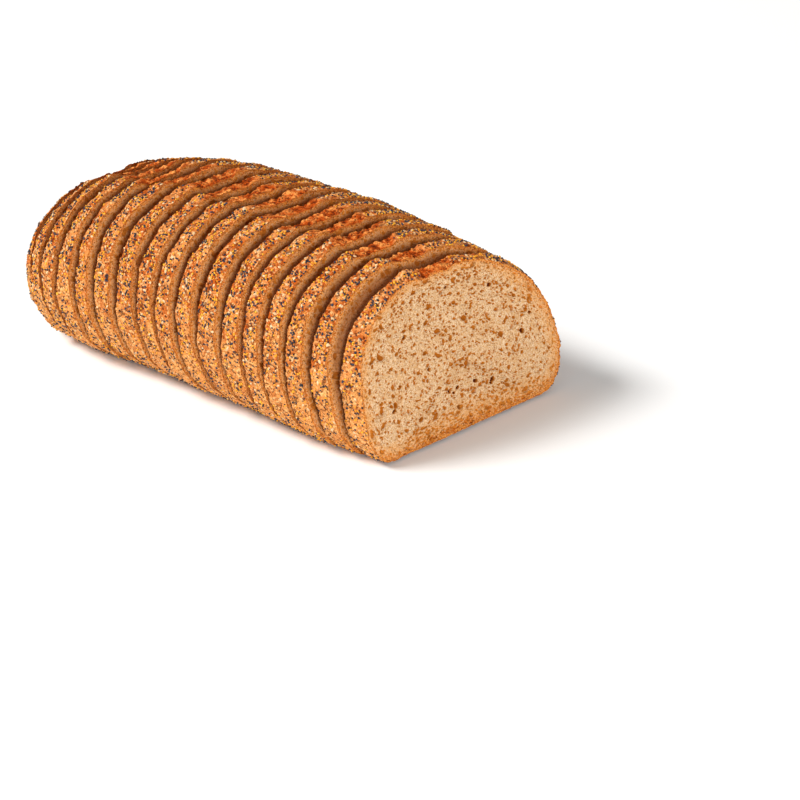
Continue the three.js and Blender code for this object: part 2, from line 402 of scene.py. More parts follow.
def crumb_material():
    """The crumb's look, from how far in from the crust a place lies and how dark the painted shade of
    its pore is.
    """
    crumb = new_material("whole wheat crumb")
    tree = crumb.node_tree
    spot = scaled_to_mm(tree)
    skin = add_node(tree, "ShaderNodeAttribute", {}, attribute_name="skin").outputs["Fac"]
    pore = add_node(tree, "ShaderNodeAttribute", {}, attribute_name="pore").outputs["Fac"]
    gap = add_node(tree, "ShaderNodeAttribute", {}, attribute_name="gap").outputs["Fac"]
    rings = add_node(tree, "ShaderNodeAttribute", {}, attribute_name="rings").outputs["Vector"]
    mottle = add_node(tree, "ShaderNodeTexNoise", {"Vector": spot, "Scale": MOTTLE_WAVES, "Detail": 3})
    patch = add_node(tree, "ShaderNodeTexNoise", {"Vector": spot, "Scale": CRUMB_PATCHES, "Detail": 2})
    arcs = add_node(tree, "ShaderNodeTexNoise", {"Vector": rings, "Scale": SMALL_PORES, "Detail": 2})
    middle = add_node(tree, "ShaderNodeTexNoise", {"Vector": spot, "Scale": SMALL_PORES, "Detail": 2})

    # Small pores run in arcs near the crust and lie any way in the middle
    inner = add_node(
        tree,
        "ShaderNodeMapRange",
        {"Value": skin, "From Min": 9, "From Max": 18},
        interpolation_type="SMOOTHSTEP",
    )
    outer = add_node(tree, "ShaderNodeMath", {0: 1, 1: inner.outputs[0]}, operation="SUBTRACT")
    shares = []
    for pores, share in ((arcs, outer), (middle, inner)):
        level = add_node(
            tree,
            "ShaderNodeMapRange",
            {"Value": pores.outputs[0]} | SMALL_PORE_LEVELS,
            interpolation_type="SMOOTHSTEP",
        )
        shares.append(
            add_node(
                tree, "ShaderNodeMath", {0: level.outputs[0], 1: share.outputs[0]}, operation="MULTIPLY"
            )
        )
    small = add_node(
        tree, "ShaderNodeMath", {0: shares[0].outputs[0], 1: shares[1].outputs[0]}, operation="ADD"
    )

    walls = [
        (mottle.outputs[0], (0.38, 0.6), (0, 1), colour(CRUMB_LIGHT)),
        (patch.outputs[0], (0.4, 0.7), (0, 0.35), colour(CRUMB_BEIGE)),
    ]
    # Painted shade: the crumb is coloured golden in the small pores
    golden = add_node(
        tree, "ShaderNodeMath", {0: small.outputs[0], 1: SMALL_PORE_PAINTED_SHADE}, operation="MULTIPLY"
    )
    dotted = add_node(
        tree,
        "ShaderNodeMix",
        {0: golden.outputs[0], 6: lay_coats(tree, colour(CRUMB_BEIGE), walls), 7: colour(PAINTED_PORE_GOLD)},
        data_type="RGBA",
    )

    # The skin's inner edge is ragged by about a millimetre, and it is toasted unevenly
    uneven_edge = add_node(
        tree,
        "ShaderNodeMapRange",
        {"Value": mottle.outputs[0], "From Min": 0.3, "From Max": 0.7, "To Min": -1.1, "To Max": 1.1},
        interpolation_type="SMOOTHSTEP",
    )
    ragged = add_node(tree, "ShaderNodeMath", {0: skin, 1: uneven_edge.outputs[0]}, operation="ADD")
    toasted = lay_coats(
        tree, colour(SKIN_BROWN), [(middle.outputs[0], (0.4, 0.65), (0, 1), colour(SKIN_PALE))]
    )
    coats = [
        # painted shade in the pores, golden and darker towards their middles
        (pore, (0.05, 0.3), (0, 1), colour(PAINTED_PORE_GOLD)),
        (pore, (0.4, 1.05), (0, 1), colour(PAINTED_PORE_DEEP)),
        (skin, (8, 1), (0, 0.5), colour(SKIN_PALE)),
        # painted shade deeper into the cuts between the slices, browner
        (gap, (0.5, 6), (0, 0.7), colour(GAP_PAINTED_SHADE)),
        (ragged.outputs[0], (2.4, 0.4), (0, 0.9), toasted),
    ]
    # Painted shade, dark, in the small pores within the skin
    in_skin = add_node(
        tree,
        "ShaderNodeMapRange",
        {"Value": skin, "From Min": 5, "From Max": 0, "To Min": 0, "To Max": 0.5},
        interpolation_type="SMOOTHSTEP",
    )
    skin_pores = add_node(
        tree, "ShaderNodeMath", {0: small.outputs[0], 1: in_skin.outputs[0]}, operation="MULTIPLY"
    )
    tone = add_node(
        tree,
        "ShaderNodeMix",
        {0: skin_pores.outputs[0], 6: lay_coats(tree, dotted.outputs[2], coats), 7: colour(PAINTED_PORE_DEEP)},
        data_type="RGBA",
    )

    soft = add_node(tree, "ShaderNodeMath", {0: mottle.outputs[0], 1: 0.6}, operation="MULTIPLY")
    hollow = add_node(
        tree, "ShaderNodeMath", {0: soft.outputs[0], 1: small.outputs[0]}, operation="SUBTRACT"
    )
    bump = add_node(tree, "ShaderNodeBump", {"Height": hollow.outputs[0]} | CRUMB_BUMP)
    finish = {"Roughness": CRUMB_ROUGHNESS, "Specular IOR Level": CRUMB_SHEEN}
    shader = add_node(
        tree,
        "ShaderNodeBsdfPrincipled",
        {"Base Color": tone.outputs[2], "Normal": bump.outputs[0]} | finish,
    )
    add_node(tree, "ShaderNodeOutputMaterial", {"Surface": shader.outputs[0]})
    return crumb


baked_crust = crust_material()
wheat_crumb = crumb_material()


# The sixteen slices. Each is sawn across the loaf about half an inch thick and still stands where
# it was cut, turned a little and leaning back on the next. The front one shows its whole cut face.

THICKNESS = [14.6, 13.3, 13.5, 13.4, 13, 14.3, 15.7, 14.1, 12.7, 14.6, 15.8, 13.8, 11.4, 13.5, 11.8, 11]
GAP = 0.5  # between two slices at the base
SLID = [1.5, -1.1, -2.7, -2.5, -2, -1, -1, -1, -1.5, -0.5, 0, -0.5, -2, -3, -2, -0.5, 3]  # to the right
THIN = 0.3  # a slice is this part thinner at its crown than at its base
FRONT_THIN = 0.15  # the front slice this part more
THIN_POWER = 1.5
SKEW = 0.1  # sawn askew: a slice's sides run this far left for each millimetre back
HEEL_THICKNESS = 26
HEEL_POWER = 2.4  # of the heel's rounding off
HEEL_CAP = 0.96  # part of the heel's depth where its sides end and its last rings begin
TURN = math.radians(14.5)  # between a slice and a straight cut across the loaf
LEAN = 8.5  # degrees that a slice leans back
FRONT_LEAN = 4  # the front slice leans this much more
FRONT_EASE = 3  # slices over which the front slice's differences die away
SETTLED = 0.5  # part of a leaning slice's base that has sunk flat
FRONT_FOOT = np.array([128.73, -1.1, 0])  # the foot of the front cut, in the shared frame

FINE_OUTLINE = (400, 60)  # points on the dome and on each corner of the section
POINTS_ROUND = 600  # 0.7 mm apart on the crust
CRUST_ROWS = 16
UNIT_WIDTH = 60  # mm, what the round slab's radius of 1 comes to
FRONT_RINGS = [0.5, 0.6, 0.7, 0.8, 0.9, 1, 1.2, 1.5, 2, 3, 4.5, 7, 12, 15]  # from the crust in, mm
BACK_RINGS = [0.5, 0.6, 0.8, 1, 1.4, 2, 3.5, 6, 10, 18]
FIRST_SLICE_POINTS = 1080
FIRST_SLICE_ROWS = 16
FIRST_SLICE_SPAN = 330  # cells across the width of its cut face, 0.45 mm each
END_ON = 0.9  # a face of the slab is in its end when its normal lies along z by this much
ON_CUT = 1e-4  # part of the slab's depth that a point of its end may be off by
ON_CRUST = 0.999  # part of the slab's radius past which a point is on the crust
CRUST_DEEP = 6  # mm in from the crust that the crumb moves with its relief
CREASE = math.radians(55)
FIRST_CHANCE = 100  # slice n makes its random draws from this and n

PORES_ON_A_CUT = 2400
PORES_REACH = 0.955  # part of the way from the heart to the crust
STEP_ALONG = 0.002  # part of the way round the section, over which its direction is taken
PORE_MARGIN = (0.3, 1.5)  # mm in from the crust over which they open
PORES_SHOW = (6, 12)  # mm in over which they end on the cuts that the next slice hides
PORE_SIZE = 0.42  # usual half length, mm
PORE_SPREAD = 0.45
SMALLEST_PORE = 0.3
LARGEST_PORE = 1.6
PORE_STRETCH = {"least": 1.15, "near the crust": 0.9, "anywhere": 0.3}
PORE_NARROWING = 0.3  # power of its stretch by which a pore is narrower
PORE_SKEW = 0.5  # radians off its ring that a pore usually lies
PORE_DEPTH = 1.2  # against its half length
PORE_SHADE = {"least": 0.2, "more": 0.5}
PORE_RIM = 0.6  # part of a pore's bowl, from its rim in, over which its painted shade darkens
DEEP_PORES = 0.007  # part of the pores that are deep, with the darkest painted shade
DEEP_PORE_SIZE = 1.7  # against the usual ones
RING_SQUEEZE = 36  # mm, the radius on which the crumb's rings are laid: small stretches its flecks

CHIP = 0.4  # how far the saw has chipped the crust's edge, mm
CHIP_LENGTH = 1.3  # of one chip along the edge
CHIP_REACH = {"cut": 1.2, "crust": 1.5}  # mm from the cut and from the crust over which it fades
RAGGED_EDGE = 0.6  # how far the cut wanders within a few millimetres of the crust
RAGGED_LENGTHS = (1.7, 4.5)
RAGGED_MIDDLE = 0.6  # what the two add up to where the cut keeps its place
RAGGED_REACH = {"cut": 2.5, "crust": 3}
WANDER = 0.5  # how far the cut wanders more slowly
WANDER_LENGTH = 28

SKIN_AT_BASE = 2  # times its usual thickness that the browned skin gains over the base
SKIN_BASE_TOP = 8
SKIN_AT_RIGHT = 0.8  # and that it gains on the right side
SKIN_RIGHT = (20, 60)
SKIN_AND_SHADE_BEHIND = 1.6  # times as thick on the slices behind the front one, whose cuts lie in shade: partly painted shade

SEEDS_LOW = 0.42  # how thickly the seeds lie on the sides
SEEDS_HIGH = 0.58  # and how much more on the shoulders
SHOULDER = (34, 62)
SEEDS_THIN_BELOW = 20
SEEDS_THIN = (2, 16)  # heights between which they thin out
SEEDS_AT_FOOT = 0.8  # but a row of them runs along the foot of the crust
FOOT = {"left": BASE_TOP, "right": 9, "edge": 3}
SEEDS_FROM_CUT = (0.3, 1.0)  # mm over which they begin


def pick(slab, kind, rule):
    """In edit mode, selects only the faces or edges for which the rule holds."""
    bpy.ops.mesh.select_mode(type=kind)
    bpy.ops.mesh.select_all(action="DESELECT")
    shape = bmesh.from_edit_mesh(slab.data)
    for item in shape.faces if kind == "FACE" else shape.edges:
        if rule(item):
            item.select_set(True)
    bmesh.update_edit_mesh(slab.data)


def add_slab(name, points_round, rows, front_rings, back_rings):
    """A round slab of radius 1 from z = 0 to z = -1, with its crust in rows and its ends in rings."""
    bpy.ops.object.select_all(action="DESELECT")
    bpy.ops.mesh.primitive_cylinder_add(
        vertices=points_round, radius=1, depth=1, end_fill_type="NGON", location=(0, 0, -0.5)
    )
    slab = bpy.context.object
    slab.name = name
    bpy.ops.object.transform_apply(location=True)
    bpy.ops.object.mode_set(mode="EDIT")
    pick(slab, "EDGE", lambda edge: abs(edge.verts[0].co.z - edge.verts[1].co.z) > 0.5)
    bpy.ops.mesh.subdivide(number_cuts=rows - 1)
    for side, rings in ((1, front_rings), (-1, back_rings)):
        pick(slab, "FACE", lambda face: face.normal.z * side > END_ON)
        for width in rings:
            bpy.ops.mesh.inset(thickness=width / UNIT_WIDTH)
        bpy.ops.mesh.poke()
    bpy.ops.object.mode_set(mode="OBJECT")
    return slab


def fill_front_finely(slab, span):
    """Gives the slab's front end an even grid in place of its rings."""
    bpy.ops.object.mode_set(mode="EDIT")
    pick(slab, "FACE", lambda face: face.normal.z > END_ON)
    bpy.ops.mesh.delete(type="FACE")
    pick(slab, "EDGE", lambda edge: all(vertex.co.z > -ON_CUT for vertex in edge.verts))
    bpy.ops.mesh.fill_grid(span=span)
    bpy.ops.object.mode_set(mode="OBJECT")


def read_points(mesh):
    """A mesh's points as rows of x, y and z."""
    points = np.empty(len(mesh.vertices) * 3)
    mesh.vertices.foreach_get("co", points)
    return points.reshape(-1, 3)


def write_points(mesh, points):
    """Moves a mesh's points to rows of x, y and z."""
    mesh.vertices.foreach_set("co", points.ravel())
    mesh.update()


def store(mesh, name, values):
    """Keeps a number or a vector for each point of a mesh, for its material to read."""
    if values.ndim == 1:
        mesh.attributes.new(name, "FLOAT", "POINT").data.foreach_set("value", values)
    else:
        mesh.attributes.new(name, "FLOAT_VECTOR", "POINT").data.foreach_set("vector", values.ravel())


def closed_section():
    """The whole section anticlockwise from the middle of the base, and the way along it."""
    crust = crust_outline(*FINE_OUTLINE)[::-1]
    points = np.vstack([(0, 0), crust, (0, 0)])
    return points, np.concatenate([[0], np.cumsum(np.hypot(*np.diff(points, axis=0).T))])


SECTION, SECTION_WAY = closed_section()
SECTION_LENGTH = SECTION_WAY[-1]


def section_at(way):
    """The section's points at parts of the way round it."""
    along = way % 1 * SECTION_LENGTH
    return np.array([np.interp(along, SECTION_WAY, SECTION[:, axis]) for axis in (0, 1)])


def uneven(way, length, chance):
    """A closed uneven line round the slice, from 0 to 1, with bumps of a length in millimetres."""
    count = round(SECTION_LENGTH / length)
    bumps = chance.random(count)
    return np.interp(way * count, range(count + 1), [*bumps, bumps[0]])


def plan_slices():
    """What each slice needs, from the front to the heel: its thickness, lean and place."""
    plans = []
    behind = 0
    for index, slid in enumerate(SLID):
        heel = index == len(THICKNESS)
        front = math.exp(-index / FRONT_EASE)
        lean = math.radians(LEAN + FRONT_LEAN * front)
        thickness = HEEL_THICKNESS if heel else THICKNESS[index]
        thin = 0 if heel else THIN + FRONT_THIN * front
        plans.append(
            {"thickness": thickness, "thin": thin, "lean": lean, "behind": behind, "slid": slid}
            | {"heel": heel, "fine": index == 0}
        )
        behind += (thickness + GAP) / (math.cos(TURN) * math.cos(lean))
    return plans


def thickness_at(plan, y):
    """A slice's thickness at a height of the section."""
    return plan["thickness"] * (1 - plan["thin"] * (y / HEIGHT) ** THIN_POWER)


def put_in_place(points, plan):
    """Moves points from a slice's own plane into the shared frame, and rests them on the floor."""
    facing = Matrix.Rotation(math.pi / 2 - TURN, 3, "Z")
    leaning = Matrix.Rotation(math.pi / 2 - plan["lean"], 3, "X")
    turned = np.array(facing @ leaning)
    rise = plan["thickness"] * math.sin(plan["lean"]) * (1 - SETTLED)
    foot = FRONT_FOOT + turned @ (plan["slid"], 0, 0) + (-plan["behind"], 0, rise)
    placed = points @ turned.T + foot
    up = turned[:, 1]
    sunk = np.minimum(placed[:, 2], 0)
    return placed - np.outer(sunk / up[2], up)


def pore_depths(x, y, fine, chance):
    """The depth of the pores, mm, and how dark their painted shade is, at points of a cut face."""
    depth = np.zeros(len(x))
    dark = np.zeros(len(x))
    way = chance.random(PORES_ON_A_CUT)
    part = np.sqrt(chance.random(PORES_ON_A_CUT)) * PORES_REACH
    crust = section_at(way)
    ahead = section_at(way + STEP_ALONG)
    middles = HEART[:, None] + part * (crust - HEART[:, None])
    along = ahead - crust
    along /= np.hypot(*along)
    half = PORE_SIZE * np.exp(PORE_SPREAD * chance.standard_normal(PORES_ON_A_CUT))
    half = half.clip(SMALLEST_PORE, LARGEST_PORE)
    stretch = PORE_STRETCH["least"] + PORE_STRETCH["near the crust"] * part**3 * chance.random(len(part))
    stretch = stretch + PORE_STRETCH["anywhere"] * chance.random(PORES_ON_A_CUT)
    deep = chance.random(PORES_ON_A_CUT) < DEEP_PORES
    shade = PORE_SHADE["least"] + PORE_SHADE["more"] * chance.random(PORES_ON_A_CUT)
    shade = np.where(deep, 1.0, shade)
    half = np.where(deep, half * DEEP_PORE_SIZE, half)
    skew = PORE_SKEW * chance.standard_normal(PORES_ON_A_CUT)
    for i in range(PORES_ON_A_CUT):
        reach = half[i] * stretch[i]
        beside = np.abs(x - middles[0, i]) < reach
        close = np.flatnonzero(beside & (np.abs(y - middles[1, i]) < reach))
        if not len(close):
            continue
        dx = x[close] - middles[0, i]
        dy = y[close] - middles[1, i]
        turn = math.atan2(along[1, i], along[0, i]) + skew[i]
        long_way = (dx * math.cos(turn) + dy * math.sin(turn)) / reach
        narrow = half[i] / stretch[i] ** PORE_NARROWING
        short_way = (dy * math.cos(turn) - dx * math.sin(turn)) / narrow
        bowl = (1 - long_way**2 - short_way**2).clip(0)
        depth[close] = np.maximum(depth[close], half[i] * PORE_DEPTH * np.sqrt(bowl))
        dark[close] = np.maximum(dark[close], shade[i] * ease(bowl, 0, PORE_RIM))
    return depth * fine, dark * fine


LEAST_WEIGHT = 0.01


def push(piece, weights, pattern, depth, rest):
    """Pushes the points in and out along the surface's normals by a solid pattern, and keeps it."""
    group = piece.vertex_groups.new(name=pattern.name)
    for index in np.flatnonzero(weights > LEAST_WEIGHT):
        group.add([int(index)], float(weights[index]), "REPLACE")
    displace = piece.modifiers.new(pattern.name, "DISPLACE")
    displace.texture = pattern
    displace.texture_coords = "LOCAL"
    displace.vertex_group = group.name
    displace.strength = depth * MM
    displace.mid_level = rest
    bpy.context.view_layer.objects.active = piece
    bpy.ops.object.modifier_apply(modifier=displace.name)
    piece.vertex_groups.clear()


def cloud(name, size, layers, kind="SOFT_NOISE"):
    """A cloudy solid pattern with lumps of a size in millimetres."""
    pattern = bpy.data.textures.new(name, "CLOUDS")
    pattern.noise_scale = size * MM
    pattern.noise_depth = layers
    pattern.noise_type = kind
    return pattern


# Depths in mm. A rest of 0.5 pushes as much in as out, and a higher one mostly in
CRUST_GRAIN = {"pattern": cloud("crust grain", 1.7, 2), "depth": 1.1, "rest": 0.5}
CRUST_BLISTERS = {"pattern": cloud("crust blisters", 6, 1), "depth": 1.4, "rest": 0.5}
TORN_CRAGS = {"pattern": cloud("torn crags", 4, 4), "depth": 2.6, "rest": 0.5}
TORN_FLAKES = {"pattern": cloud("torn flakes", 1.5, 1, "HARD_NOISE"), "depth": 0.8, "rest": 0.5}
CRUMB_GRAIN = {"pattern": cloud("crumb grain", 2, 2), "rest": 0.9}
CRUMB_GRAIN_IN_FRONT = 0.5
CRUMB_GRAIN_BEHIND = 1.5
RELIEF_ABOVE = 6  # height from which the crust's patterns are at their full depth


def seed_room(x, y, behind, band, in_from_cut):
    """How thickly the seeds lie at places on the crust: none in the band, most on the shoulders."""
    side = SEEDS_LOW + SEEDS_HIGH * ease(y, *SHOULDER)
    side = np.where(y < SEEDS_THIN_BELOW, side * ease(y, *SEEDS_THIN), side)
    side = side + SEEDS_AT_FOOT * between(y, **FOOT)
    patches = np.sin(0.21 * x + 0.13 * behind) * np.sin(0.16 * y - 0.19 * behind + 1)
    patches = 0.85 + 0.5 * patches + 0.25 * np.sin(0.37 * y + 0.29 * behind)
    bare = (1 - band) ** 3 * ease(in_from_cut, *SEEDS_FROM_CUT)
    return (side * patches * bare).clip(0)


def shape_slice(slab, plan, chance):
    """Turns a round slab into its slice of the loaf, in its place, and gives its room for seeds."""
    round_points = read_points(slab.data)
    radius = np.hypot(round_points[:, 0], round_points[:, 1])
    depth_part = -round_points[:, 2]
    way = (np.arctan2(round_points[:, 1], round_points[:, 0]) / (2 * math.pi) + 0.25) % 1
    crust = section_at(way)
    from_heart = crust - HEART[:, None]
    on_front = depth_part < ON_CUT
    on_back = depth_part > 1 - ON_CUT
    shrink = 1
    if plan["heel"]:
        even = np.sin(depth_part * math.pi / 2) * HEEL_CAP
        shrink = (1 - even**HEEL_POWER) ** (1 / HEEL_POWER)
        shrink = np.where(on_back, shrink * radius, shrink)
        even = np.where(on_back, (1 - shrink**HEEL_POWER) ** (1 / HEEL_POWER), even)
        depth_part = even / HEEL_CAP
        radius = np.where(on_back, 1, radius)
    flat = HEART[:, None] + radius * from_heart
    in_from_crust = (1 - radius) * np.hypot(*from_heart)
    near = np.exp(-((in_from_crust / CRUST_DEEP) ** 2))
    thickness = thickness_at(plan, flat[1].clip(0))
    z = -depth_part * thickness
    behind = plan["behind"] - z

    # Its cuts: the way into the slice, their points and how far each point lies from them
    cuts = [(-1, on_front, -z)]
    if not plan["heel"]:
        cuts.append((1, on_back, thickness + z))
    for _, _, from_cut in cuts:
        fading = -((from_cut / CHIP_REACH["cut"]) ** 2) - (in_from_crust / CHIP_REACH["crust"]) ** 2
        chip = CHIP * uneven(way, CHIP_LENGTH, chance) * np.exp(fading)
        flat = flat - chip * from_heart / np.hypot(*from_heart)
    x, y = in_loaf(crust, flat, behind, shrink, near)
    x = x + SKEW * z
    for inward, _, from_cut in cuts:
        ragged = uneven(way, RAGGED_LENGTHS[0], chance) + uneven(way, RAGGED_LENGTHS[1], chance)
        ragged = RAGGED_EDGE * (ragged - RAGGED_MIDDLE)
        ragged = ragged + WANDER * uneven(way, WANDER_LENGTH, chance)
        fading = -((from_cut / RAGGED_REACH["cut"]) ** 2) - (in_from_crust / RAGGED_REACH["crust"]) ** 2
        z = z + inward * ragged * np.exp(fading)

    dark = np.zeros(len(x))
    for inward, on_cut, _ in cuts:
        spots = np.flatnonzero(on_cut & (radius < ON_CRUST))
        fine = 1 - ease(in_from_crust[spots], *PORES_SHOW)
        if plan["fine"] and inward == -1:
            fine = np.ones(len(spots))
        fine = fine * ease(in_from_crust[spots], *PORE_MARGIN)
        hollow, shade = pore_depths(flat[0, spots], flat[1, spots], fine, chance)
        z[spots] += inward * hollow
        dark[spots] = shade

    smooth = put_in_place(np.column_stack([x, y, z]), plan) * MM
    write_points(slab.data, smooth)
    outward = np.empty(len(x) * 3)
    slab.data.vertices.foreach_get("normal", outward)
    wider = TORN_WIDER * ease(behind, *TORN_WIDENS)
    wider = wider - TORN_TAPER * (1 - ease(shrink, *TORN_NARROWS))
    band, _ = band_at(crust[0], crust[1], behind, wider)
    on_crust = radius > ON_CRUST
    above_base = ease(crust[1], BASE_TOP, RELIEF_ABOVE)
    grain = CRUMB_GRAIN_IN_FRONT if plan["fine"] else CRUMB_GRAIN_BEHIND
    push(slab, np.where(on_crust, above_base * (1 - band), 0), **CRUST_BLISTERS)
    push(slab, np.where(on_crust, above_base, 0), **CRUST_GRAIN)
    push(slab, np.where(on_crust, band, 0), **TORN_CRAGS)
    push(slab, np.where(on_crust, band, 0), **TORN_FLAKES)
    push(slab, np.where(on_crust, 0, ease(in_from_crust, 0, 1)), **CRUMB_GRAIN, depth=grain)
    points = read_points(slab.data)
    points[:, 2] = points[:, 2].clip(0)
    write_points(slab.data, points)

    turn = 2 * math.pi * way
    rings = np.column_stack([RING_SQUEEZE * np.cos(turn), RING_SQUEEZE * np.sin(turn), in_from_crust])
    thicker = 1 + SKIN_AT_BASE * (1 - ease(crust[1], BASE_TOP, SKIN_BASE_TOP))
    thicker = thicker + SKIN_AT_RIGHT * ease(crust[0], *SKIN_RIGHT)
    # the thicker skin on the slices behind the front one is partly painted shade
    thicker = thicker * (1 if plan["fine"] else SKIN_AND_SHADE_BEHIND)
    store(slab.data, "band", band)
    # how far the crust stands out of its smooth shape, for its painted highlight and shade
    store(slab.data, "proud", ((points - smooth) * outward.reshape(-1, 3)).sum(axis=1) / MM)
    store(slab.data, "height", y)
    # how far into a cut behind the front slice a point lies, for its painted shade
    store(slab.data, "gap", np.where(on_crust | plan["fine"], 0, in_from_crust))
    store(slab.data, "skin", np.where(on_crust, 0, in_from_crust / thicker))
    store(slab.data, "rings", rings)
    # the painted shade of the pores
    store(slab.data, "pore", dark)
    in_from_cut = -z if plan["heel"] else np.minimum(-z, thickness + z)
    return np.where(on_crust, seed_room(crust[0], crust[1], behind, band, in_from_cut), 0)


def dress_slice(slab, node):
    """Gives a slice its crust and crumb, and puts it in its solid's place."""
    slab.data.materials.append(baked_crust)
    slab.data.materials.append(wheat_crumb)
    bpy.ops.object.select_all(action="DESELECT")
    slab.select_set(True)
    bpy.context.view_layer.objects.active = slab
    bpy.ops.object.shade_smooth_by_angle(angle=CREASE)
    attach(slab, "root")
    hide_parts(node)


def mark_crumb(mesh, ends):
    """Gives the slab's sawn ends the crumb's material: 1 is the front end and -1 the back one."""
    normals = np.empty(len(mesh.polygons) * 3)
    mesh.polygons.foreach_get("normal", normals)
    upright = normals.reshape(-1, 3)[:, 2]
    sawn = np.any([upright * end > END_ON for end in ends], axis=0)
    mesh.polygons.foreach_set("material_index", sawn.astype(np.int32))


plans = plan_slices()
usual = add_slab("usual_slab", POINTS_ROUND, CRUST_ROWS, FRONT_RINGS, BACK_RINGS)
mark_crumb(usual.data, (1, -1))
pieces = []
for number, plan in enumerate(plans[:-1], start=1):
    if plan["fine"]:
        piece = add_slab("cut_slice_01", FIRST_SLICE_POINTS, FIRST_SLICE_ROWS, [], BACK_RINGS)
        fill_front_finely(piece, FIRST_SLICE_SPAN)
        mark_crumb(piece.data, (1, -1))
    else:
        piece = bpy.data.objects.new(f"cut_slice_{number:02d}", usual.data.copy())
        bpy.context.scene.collection.objects.link(piece)
    room = shape_slice(piece, plan, np.random.default_rng(FIRST_CHANCE + number))
    dress_slice(piece, f"slice_{number:02d}")
    pieces.append((piece, plan, room))
bpy.data.objects.remove(usual)


# The heel. The loaf's rounded end, crust all over but for its one sawn face, which leans on nothing
# and holds the slices up.

HEEL_ROWS = 30
HEEL_END_RINGS = [1.2] * 18 + [2] * 8

heel = add_slab("loaf_heel", POINTS_ROUND, HEEL_ROWS, FRONT_RINGS, HEEL_END_RINGS)
mark_crumb(heel.data, (1,))
room = shape_slice(heel, plans[-1], np.random.default_rng(FIRST_CHANCE + len(plans)))
dress_slice(heel, "heel")
pieces.append((heel, plans[-1], room))


# Sesame seeds. Flat cream drops 2 to 3 mm long, pressed into the crust before the bake. The largest
# lie where the solids have theirs, and the rest are strewn by the same rule as the other kinds.

SESAME = {"half": (1.05, 0.64, 0.38), "each_mm2": 0.036, "draws": 7, "colours": ("#ebc898", "#c99a66")}
SOLID_SEED_SIZE = 1.33  # the solids' seeds against the strewn ones
SOLID_SEEDS_ON_A_SLICE = 13
SOLID_SEEDS_ON_THE_HEEL = 20
SOLID_SEED_MARGIN = 0.28  # part of the thickness kept bare at each cut
SOLID_BAND_MARGIN = 3  # mm kept bare at each side of the band
SOLID_OUTLINE = (34, 5)  # points on the dome and on each corner of the solids' section
LOWEST_SOLID_SEED = 0.06  # part of the way along the crust's outline
FIRST_DRAW = 41
SEED_RAISED = 0.35  # part of a seed's half height that its middle lies above the crust
SEED_SIZES = {"spread": 0.14, "least": 0.7, "most": 1.3}
SEED_TILT = 0.12  # how far a seed leans off the crust's normal, usually
ACROSS = (0.3, 0.2, 1)  # seeds are spun from square to this
SEED_TIP = 0.65  # how wide a drawn-out seed's far end is, against a sphere's
TIP_FROM = 0.5
SEED_CREASE = math.radians(60)
SEED_PITS = 3  # a millimetre
SEED_BUMP = {"Strength": 0.4, "Distance": 0.15 * MM}


def draws(state):
    """A seeded draw between 0 and 1, the same as in the solids."""
    while True:
        state = (state * 1664525 + 1013904223) % 4294967296
        yield state / 4294967296


def solid_seed_places():
    """Where the solids have their seeds, as points in the shared frame with their slice."""
    outline = crust_outline(*SOLID_OUTLINE)
    draw = draws(FIRST_DRAW)
    places = []
    for piece, plan, _ in pieces:
        wanted = SOLID_SEEDS_ON_THE_HEEL if plan["heel"] else SOLID_SEEDS_ON_A_SLICE
        for i in range(wanted):
            around = LOWEST_SOLID_SEED + (1 - 2 * LOWEST_SOLID_SEED) * ((i + next(draw)) / wanted)
            part = SOLID_SEED_MARGIN + (1 - 2 * SOLID_SEED_MARGIN) * next(draw)
            spin = math.pi * next(draw)
            index = around * (len(outline) - 1)
            flat = np.array([np.interp(index, range(len(outline)), column) for column in outline.T])
            bare = BAND["left"] - SOLID_BAND_MARGIN < flat[0] < BAND["right"] + SOLID_BAND_MARGIN
            if flat[1] > BAND_ABOVE and bare:
                continue
            shrink = 1
            if plan["heel"]:
                shrink = (1 - (part * HEEL_CAP) ** HEEL_POWER) ** (1 / HEEL_POWER)
            depth = part * thickness_at(plan, flat[1])
            x, y = in_loaf(flat, flat, np.array(plan["behind"] + depth), shrink, 1)
            point = put_in_place(np.array([[float(x) - SKEW * depth, float(y), -depth]]), plan)[0]
            places.append((piece, point * MM, spin))
    return places


def seed_shape(name, half, blunt):
    """One seed, modelled from a small sphere, with its far end drawn out where it isn't blunt."""
    bpy.ops.object.select_all(action="DESELECT")
    if blunt:
        bpy.ops.mesh.primitive_ico_sphere_add(subdivisions=1, radius=1)
    else:
        bpy.ops.mesh.primitive_uv_sphere_add(
            segments=6, ring_count=4, radius=1, rotation=(0, math.pi / 2, 0)
        )
    seed = bpy.context.object
    seed.name = name
    bpy.ops.object.transform_apply(rotation=True)
    if not blunt:
        bpy.ops.object.mode_set(mode="EDIT")
        bpy.ops.mesh.select_mode(type="VERT")
        bpy.ops.mesh.select_all(action="DESELECT")
        shape = bmesh.from_edit_mesh(seed.data)
        for vertex in shape.verts:
            vertex.select_set(vertex.co.x > TIP_FROM)
        bmesh.update_edit_mesh(seed.data)
        bpy.ops.transform.resize(value=(1, SEED_TIP, SEED_TIP), center_override=(0, 0, 0))
        bpy.ops.object.mode_set(mode="OBJECT")
    seed.scale = half
    bpy.ops.object.transform_apply(scale=True)
    return seed


